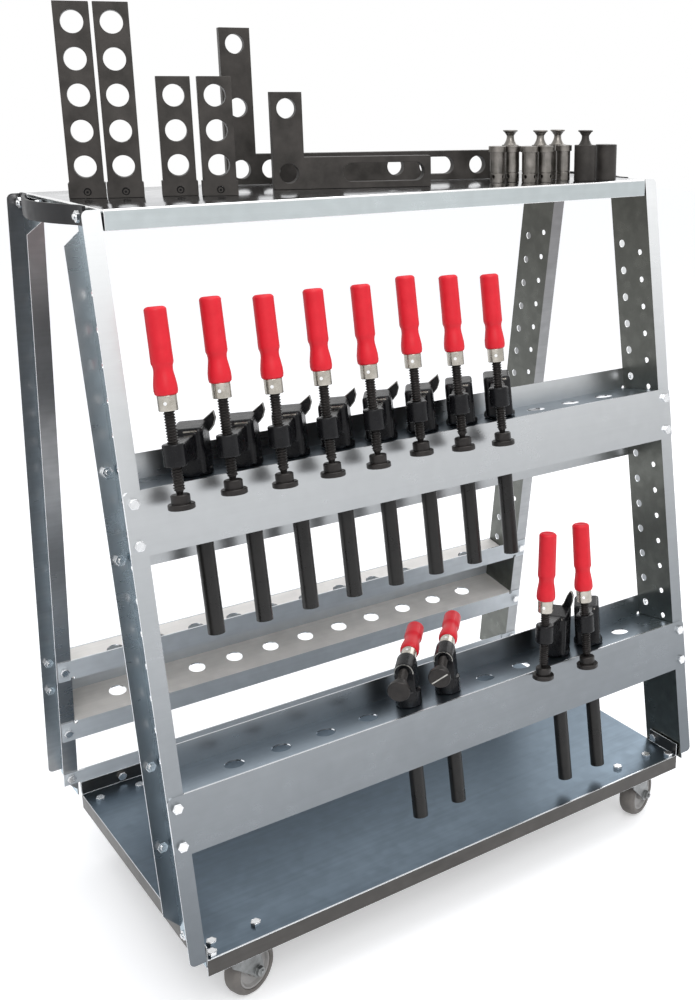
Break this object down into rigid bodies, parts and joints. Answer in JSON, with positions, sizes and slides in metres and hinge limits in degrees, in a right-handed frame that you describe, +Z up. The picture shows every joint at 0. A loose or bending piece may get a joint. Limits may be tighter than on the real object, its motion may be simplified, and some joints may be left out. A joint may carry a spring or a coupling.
{
  "type": "clamp carrier",
  "caption": "Wheeled A-shaped sheet steel carrier with perforated posts, hole shelves holding red-handled screw clamps, and trays above and below; stop bars and clamping bolts stand on top.",
  "frame": {"origin": "on the floor, at the middle of the carrier's outline", "axes": "+X to the viewer's right along the shelves, +Y to the rear, +Z up"},
  "size_m": [1.08, 0.6891, 1.5035],
  "materials": {
    "galvanised_sheet": "bright galvanised sheet",
    "black_strap": "satin black",
    "bright_zinc": "bright zinc plate",
    "dark_zinc": "zinc plated pressing",
    "wheel_core": "moulded wheel centre",
    "grey_tyre": "grey-brown tread",
    "clamp_black": "satin black",
    "clamp_screw_red_grip": "red grip on a dark screw",
    "bolt_steel": "satin steel",
    "burnished_steel": "burnished dark steel"
  },
  "bodies": {
    "carrier": {"post_front_left": "galvanised_sheet", "post_front_right": "galvanised_sheet", "post_rear_left": "galvanised_sheet", "post_rear_right": "galvanised_sheet", "top_tray": "galvanised_sheet", "upper_front_shelf": "galvanised_sheet", "lower_front_shelf": "galvanised_sheet", "rear_shelf": "galvanised_sheet", "bottom_tray": "galvanised_sheet", "rear_rail": "galvanised_sheet", "grab_strap_left": "black_strap", "grab_strap_right": "black_strap", "frame_bolts": "bright_zinc", "frame_nuts": "bright_zinc", "caster_plates": "bright_zinc"},
    "swivel_front_left": {"caster_fork_front_left": "dark_zinc"},
    "wheel_front_left": {"caster_wheel_front_left": "wheel_core", "caster_tyre_front_left": "grey_tyre"},
    "swivel_front_right": {"caster_fork_front_right": "dark_zinc"},
    "wheel_front_right": {"caster_wheel_front_right": "wheel_core", "caster_tyre_front_right": "grey_tyre"},
    "swivel_rear_left": {"caster_fork_rear_left": "dark_zinc"},
    "wheel_rear_left": {"caster_wheel_rear_left": "wheel_core", "caster_tyre_rear_left": "grey_tyre"},
    "swivel_rear_right": {"caster_fork_rear_right": "dark_zinc"},
    "wheel_rear_right": {"caster_wheel_rear_right": "wheel_core", "caster_tyre_rear_right": "grey_tyre"},
    "clamp_1": {"clamp_1_body": "clamp_black"},
    "clamp_1_spindle": {"clamp_1_screw": "clamp_screw_red_grip"},
    "clamp_2": {"clamp_2_body": "clamp_black"},
    "clamp_2_spindle": {"clamp_2_screw": "clamp_screw_red_grip"},
    "clamp_3": {"clamp_3_body": "clamp_black"},
    "clamp_3_spindle": {"clamp_3_screw": "clamp_screw_red_grip"},
    "clamp_4": {"clamp_4_body": "clamp_black"},
    "clamp_4_spindle": {"clamp_4_screw": "clamp_screw_red_grip"},
    "clamp_5": {"clamp_5_body": "clamp_black"},
    "clamp_5_spindle": {"clamp_5_screw": "clamp_screw_red_grip"},
    "clamp_6": {"clamp_6_body": "clamp_black"},
    "clamp_6_spindle": {"clamp_6_screw": "clamp_screw_red_grip"},
    "clamp_7": {"clamp_7_body": "clamp_black"},
    "clamp_7_spindle": {"clamp_7_screw": "clamp_screw_red_grip"},
    "clamp_8": {"clamp_8_body": "clamp_black"},
    "clamp_8_spindle": {"clamp_8_screw": "clamp_screw_red_grip"},
    "large_clamp_1": {"large_clamp_1_body": "clamp_black"},
    "large_clamp_1_spindle": {"large_clamp_1_screw": "clamp_screw_red_grip"},
    "large_clamp_2": {"large_clamp_2_body": "clamp_black"},
    "large_clamp_2_spindle": {"large_clamp_2_screw": "clamp_screw_red_grip"},
    "small_clamp_1": {"small_clamp_1_body": "clamp_black"},
    "small_clamp_1_spindle": {"small_clamp_1_screw": "clamp_screw_red_grip"},
    "small_clamp_2": {"small_clamp_2_body": "clamp_black"},
    "small_clamp_2_spindle": {"small_clamp_2_screw": "clamp_screw_red_grip"},
    "loose_tall_stop_bar_1": {"tall_stop_bar_1": "burnished_steel"},
    "loose_tall_stop_bar_2": {"tall_stop_bar_2": "burnished_steel"},
    "loose_short_stop_bar_1": {"short_stop_bar_1": "burnished_steel"},
    "loose_short_stop_bar_2": {"short_stop_bar_2": "burnished_steel"},
    "loose_angle_stop_1": {"angle_stop_1": "burnished_steel"},
    "loose_angle_stop_2": {"angle_stop_2": "burnished_steel"},
    "loose_clamping_bolts": {"clamping_bolts": "bolt_steel"},
    "loose_stop_bolts": {"stop_bolts": "burnished_steel"}
  },
  "joints": [
    {"name": "swivel_front_left_turn", "type": "hinge", "parent": "carrier", "child": "swivel_front_left", "pos_m": [-0.437, -0.29, 0.1], "axis": [0, 0, 1], "continuous": true},
    {"name": "wheel_front_left_turn", "type": "hinge", "parent": "swivel_front_left", "child": "wheel_front_left", "pos_m": [-0.40975, -0.28008, 0.045], "axis": [-0.342, 0.9397, 0], "continuous": true},
    {"name": "swivel_front_right_turn", "type": "hinge", "parent": "carrier", "child": "swivel_front_right", "pos_m": [0.408, -0.29, 0.1], "axis": [0, 0, 1], "continuous": true},
    {"name": "wheel_front_right_turn", "type": "hinge", "parent": "swivel_front_right", "child": "wheel_front_right", "pos_m": [0.43525, -0.28008, 0.045], "axis": [-0.342, 0.9397, 0], "continuous": true},
    {"name": "swivel_rear_left_turn", "type": "hinge", "parent": "carrier", "child": "swivel_rear_left", "pos_m": [-0.437, 0.192, 0.1], "axis": [0, 0, 1], "continuous": true},
    {"name": "wheel_rear_left_turn", "type": "hinge", "parent": "swivel_rear_left", "child": "wheel_rear_left", "pos_m": [-0.40863, 0.18597, 0.045], "axis": [0.2079, 0.9781, 0], "continuous": true},
    {"name": "swivel_rear_right_turn", "type": "hinge", "parent": "carrier", "child": "swivel_rear_right", "pos_m": [0.408, 0.192, 0.1], "axis": [0, 0, 1], "continuous": true},
    {"name": "wheel_rear_right_turn", "type": "hinge", "parent": "swivel_rear_right", "child": "wheel_rear_right", "pos_m": [0.43637, 0.18597, 0.045], "axis": [0.2079, 0.9781, 0], "continuous": true},
    {"name": "clamp_1_lift", "type": "slide", "parent": "carrier", "child": "clamp_1", "axis": [0, 0.1478, 0.989], "range_m": [0, 0.24]},
    {"name": "clamp_1_screw_turn", "type": "hinge", "parent": "clamp_1", "child": "clamp_1_spindle", "pos_m": [-0.46023, -0.27233, 0.85746], "axis": [0, 0.1478, 0.989], "continuous": true},
    {"name": "clamp_2_lift", "type": "slide", "parent": "carrier", "child": "clamp_2", "axis": [0, 0.1478, 0.989], "range_m": [0, 0.24]},
    {"name": "clamp_2_screw_turn", "type": "hinge", "parent": "clamp_2", "child": "clamp_2_spindle", "pos_m": [-0.38023, -0.27233, 0.85746], "axis": [0, 0.1478, 0.989], "continuous": true},
    {"name": "clamp_3_lift", "type": "slide", "parent": "carrier", "child": "clamp_3", "axis": [0, 0.1478, 0.989], "range_m": [0, 0.24]},
    {"name": "clamp_3_screw_turn", "type": "hinge", "parent": "clamp_3", "child": "clamp_3_spindle", "pos_m": [-0.30023, -0.27233, 0.85746], "axis": [0, 0.1478, 0.989], "continuous": true},
    {"name": "clamp_4_lift", "type": "slide", "parent": "carrier", "child": "clamp_4", "axis": [0, 0.1478, 0.989], "range_m": [0, 0.24]},
    {"name": "clamp_4_screw_turn", "type": "hinge", "parent": "clamp_4", "child": "clamp_4_spindle", "pos_m": [-0.22023, -0.27233, 0.85746], "axis": [0, 0.1478, 0.989], "continuous": true},
    {"name": "clamp_5_lift", "type": "slide", "parent": "carrier", "child": "clamp_5", "axis": [0, 0.1478, 0.989], "range_m": [0, 0.24]},
    {"name": "clamp_5_screw_turn", "type": "hinge", "parent": "clamp_5", "child": "clamp_5_spindle", "pos_m": [-0.14023, -0.27233, 0.85746], "axis": [0, 0.1478, 0.989], "continuous": true},
    {"name": "clamp_6_lift", "type": "slide", "parent": "carrier", "child": "clamp_6", "axis": [0, 0.1478, 0.989], "range_m": [0, 0.24]},
    {"name": "clamp_6_screw_turn", "type": "hinge", "parent": "clamp_6", "child": "clamp_6_spindle", "pos_m": [-0.06023, -0.27233, 0.85746], "axis": [0, 0.1478, 0.989], "continuous": true},
    {"name": "clamp_7_lift", "type": "slide", "parent": "carrier", "child": "clamp_7", "axis": [0, 0.1478, 0.989], "range_m": [0, 0.24]},
    {"name": "clamp_7_screw_turn", "type": "hinge", "parent": "clamp_7", "child": "clamp_7_spindle", "pos_m": [0.01977, -0.27233, 0.85746], "axis": [0, 0.1478, 0.989], "continuous": true},
    {"name": "clamp_8_lift", "type": "slide", "parent": "carrier", "child": "clamp_8", "axis": [0, 0.1478, 0.989], "range_m": [0, 0.24]},
    {"name": "clamp_8_screw_turn", "type": "hinge", "parent": "clamp_8", "child": "clamp_8_spindle", "pos_m": [0.09977, -0.27233, 0.85746], "axis": [0, 0.1478, 0.989], "continuous": true},
    {"name": "large_clamp_1_lift", "type": "slide", "parent": "carrier", "child": "large_clamp_1", "axis": [0, 0.1478, 0.989], "range_m": [0, 0.22]},
    {"name": "large_clamp_1_screw_turn", "type": "hinge", "parent": "large_clamp_1", "child": "large_clamp_1_spindle", "pos_m": [0.1584, -0.31942, 0.40754], "axis": [0.0712, 0.0598, 0.9957], "continuous": true},
    {"name": "large_clamp_2_lift", "type": "slide", "parent": "carrier", "child": "large_clamp_2", "axis": [0, 0.1478, 0.989], "range_m": [0, 0.22]},
    {"name": "large_clamp_2_screw_turn", "type": "hinge", "parent": "large_clamp_2", "child": "large_clamp_2_spindle", "pos_m": [0.24974, -0.33159, 0.40698], "axis": [0.0195, 0.1304, 0.9913], "continuous": true},
    {"name": "small_clamp_1_lift", "type": "slide", "parent": "carrier", "child": "small_clamp_1", "axis": [0, 0.1478, 0.989], "range_m": [0, 0.12]},
    {"name": "small_clamp_1_screw_turn", "type": "hinge", "parent": "small_clamp_1", "child": "small_clamp_1_spindle", "pos_m": [-0.08, -0.24476, 0.46002], "axis": [0.6603, 0.7373, 0.143], "continuous": true},
    {"name": "small_clamp_2_lift", "type": "slide", "parent": "carrier", "child": "small_clamp_2", "axis": [0, 0.1478, 0.989], "range_m": [0, 0.12]},
    {"name": "small_clamp_2_screw_turn", "type": "hinge", "parent": "small_clamp_2", "child": "small_clamp_2_spindle", "pos_m": [0, -0.24476, 0.46002], "axis": [0.6603, 0.7373, 0.143], "continuous": true},
    {"name": "tall_stop_bar_1_lift", "type": "slide", "parent": "carrier", "child": "loose_tall_stop_bar_1", "axis": [0, 0, 1], "range_m": [0, 0.12]},
    {"name": "tall_stop_bar_2_lift", "type": "slide", "parent": "carrier", "child": "loose_tall_stop_bar_2", "axis": [0, 0, 1], "range_m": [0, 0.12]},
    {"name": "short_stop_bar_1_lift", "type": "slide", "parent": "carrier", "child": "loose_short_stop_bar_1", "axis": [0, 0, 1], "range_m": [0, 0.12]},
    {"name": "short_stop_bar_2_lift", "type": "slide", "parent": "carrier", "child": "loose_short_stop_bar_2", "axis": [0, 0, 1], "range_m": [0, 0.12]},
    {"name": "angle_stop_1_lift", "type": "slide", "parent": "carrier", "child": "loose_angle_stop_1", "axis": [0, 0, 1], "range_m": [0, 0.12]},
    {"name": "angle_stop_2_lift", "type": "slide", "parent": "carrier", "child": "loose_angle_stop_2", "axis": [0, 0, 1], "range_m": [0, 0.12]},
    {"name": "clamping_bolts_lift", "type": "slide", "parent": "carrier", "child": "loose_clamping_bolts", "axis": [0, 0, 1], "range_m": [0, 0.12]},
    {"name": "stop_bolts_lift", "type": "slide", "parent": "carrier", "child": "loose_stop_bolts", "axis": [0, 0, 1], "range_m": [0, 0.12]}
  ]
}
